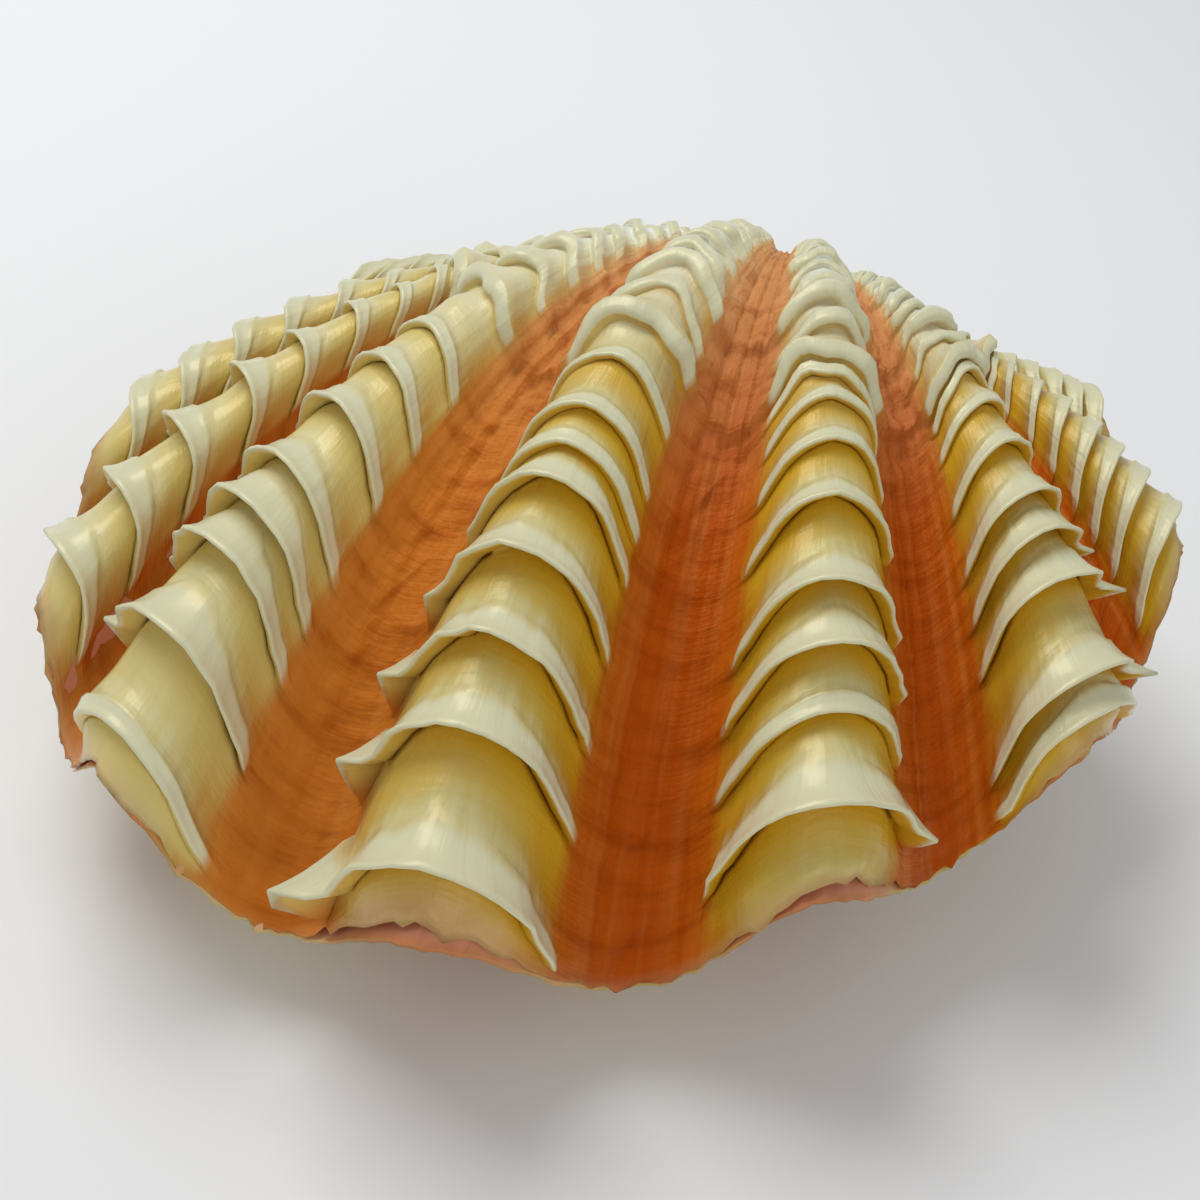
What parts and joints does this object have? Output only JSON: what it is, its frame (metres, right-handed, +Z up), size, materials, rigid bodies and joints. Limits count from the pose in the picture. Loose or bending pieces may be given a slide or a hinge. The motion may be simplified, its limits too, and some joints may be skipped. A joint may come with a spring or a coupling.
{
  "type": "giant clam shell",
  "caption": "Closed pair of fluted giant clam valves with deep folds and rows of leaning scales, lying on its lower valve.",
  "frame": {"origin": "centre of the bounding box's underside, on the surface that the shell lies on", "axes": "+X along the length of the shell to its shorter end, -Y to the ventral margin, +Y to the beaks, +Z up"},
  "size_m": [0.1848, 0.1548, 0.0843],
  "materials": {
    "upper_valve": "semi-gloss shell, cream and yellow ribs with orange between them",
    "lower_valve": "semi-gloss shell, cream and yellow ribs with orange between them",
    "hinge_ligament": "dull dried ligament, dark brown"
  },
  "bodies": {
    "root": {"upper_valve": "upper_valve", "lower_valve": "lower_valve", "hinge_ligament": "hinge_ligament"}
  },
  "joints": []
}
